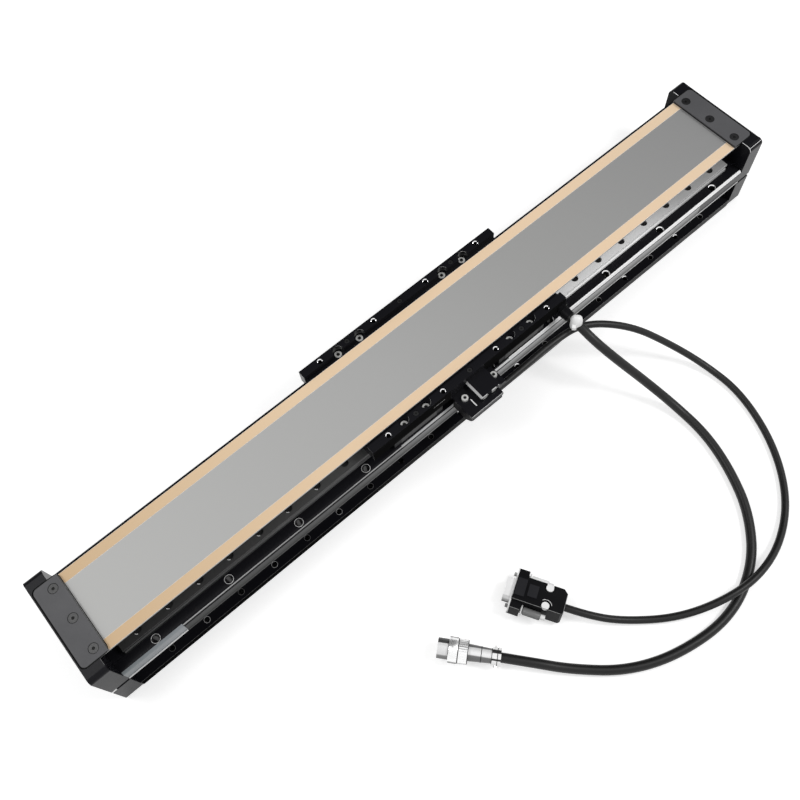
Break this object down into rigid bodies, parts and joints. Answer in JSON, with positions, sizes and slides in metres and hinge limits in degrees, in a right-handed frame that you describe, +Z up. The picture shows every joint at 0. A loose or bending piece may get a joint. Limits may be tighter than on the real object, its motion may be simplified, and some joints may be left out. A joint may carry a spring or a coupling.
{
  "type": "linear motor module",
  "caption": "Long covered linear motor slide: black base with end blocks, guide rails, raised carriage bars, encoder read head and two plugged cords.",
  "frame": {"origin": "middle of the base's underside, halfway along it", "axes": "+X along the travel, -Y the side with the read head and cords, +Z up"},
  "size_m": [0.628, 0.3186, 0.072],
  "materials": {
    "anodised_black": "satin",
    "cover_grey": "satin",
    "band_cream": "satin",
    "pad_grey": "satin",
    "rail_steel": "satin",
    "bearing_dark": "satin",
    "screw_black": "satin",
    "screw_steel": "gloss",
    "yoke_steel": "satin",
    "magnet_nickel": "gloss",
    "coil_epoxy": "gloss",
    "tape_steel": "satin",
    "plastic_black": "matte",
    "rubber_black": "matte",
    "tie_white": "gloss",
    "plug_nickel": "gloss",
    "pin_brass": "gloss"
  },
  "bodies": {
    "base": {"base_profile": "anodised_black", "bumpers": "rubber_black", "cover_band_front": "band_cream", "cover_band_rear": "band_cream", "cover_pad_far": "pad_grey", "cover_pad_near": "pad_grey", "end_block_far": "anodised_black", "end_block_near": "anodised_black", "end_screws": "screw_black", "magnets_front": "magnet_nickel", "magnets_rear": "magnet_nickel", "pad_screws": "screw_black", "rail_front": "rail_steel", "rail_rear": "rail_steel", "rail_screws": "screw_steel", "scale_tape": "tape_steel", "spacer_screws": "screw_steel", "top_cover": "cover_grey", "yoke_front": "yoke_steel", "yoke_rear": "yoke_steel", "yoke_screws": "screw_steel", "yoke_spacer": "anodised_black"},
    "carriage": {"carriage_plate": "anodised_black", "carriage_bar_front": "anodised_black", "carriage_bar_rear": "anodised_black", "bar_screws": "screw_black", "bearing_screws": "screw_steel", "bearing_front_near": "bearing_dark", "bearing_front_far": "bearing_dark", "bearing_rear_near": "bearing_dark", "bearing_rear_far": "bearing_dark", "bearing_caps_front": "plastic_black", "bearing_caps_rear": "plastic_black", "forcer_bar": "anodised_black", "forcer_coil": "coil_epoxy", "forcer_screws": "screw_steel", "head_bracket": "anodised_black", "read_head": "plastic_black", "head_screws": "screw_steel", "bracket_screws": "screw_steel", "cord_gland": "plastic_black", "power_cord": "rubber_black", "encoder_cord": "rubber_black", "cord_tie": "tie_white", "hood_lower": "plastic_black", "hood_upper": "plastic_black", "hood_screws": "screw_steel", "plug_shell": "plug_nickel", "plug_insulator": "plastic_black", "plug_pins": "pin_brass", "plug_thumbscrews": "plug_nickel", "plug_clamp": "plug_nickel", "plug_clamp_screws": "plug_nickel", "plug_barrel": "plug_nickel", "plug_nut": "plug_nickel", "plug_ring": "plug_nickel", "plug_sleeve": "plug_nickel", "plug_core": "plastic_black", "plug_contacts": "pin_brass"}
  },
  "joints": [
    {"name": "carriage_slide", "type": "slide", "parent": "base", "child": "carriage", "axis": [1, 0, 0], "range_m": [-0.2075, 0.1925]}
  ]
}
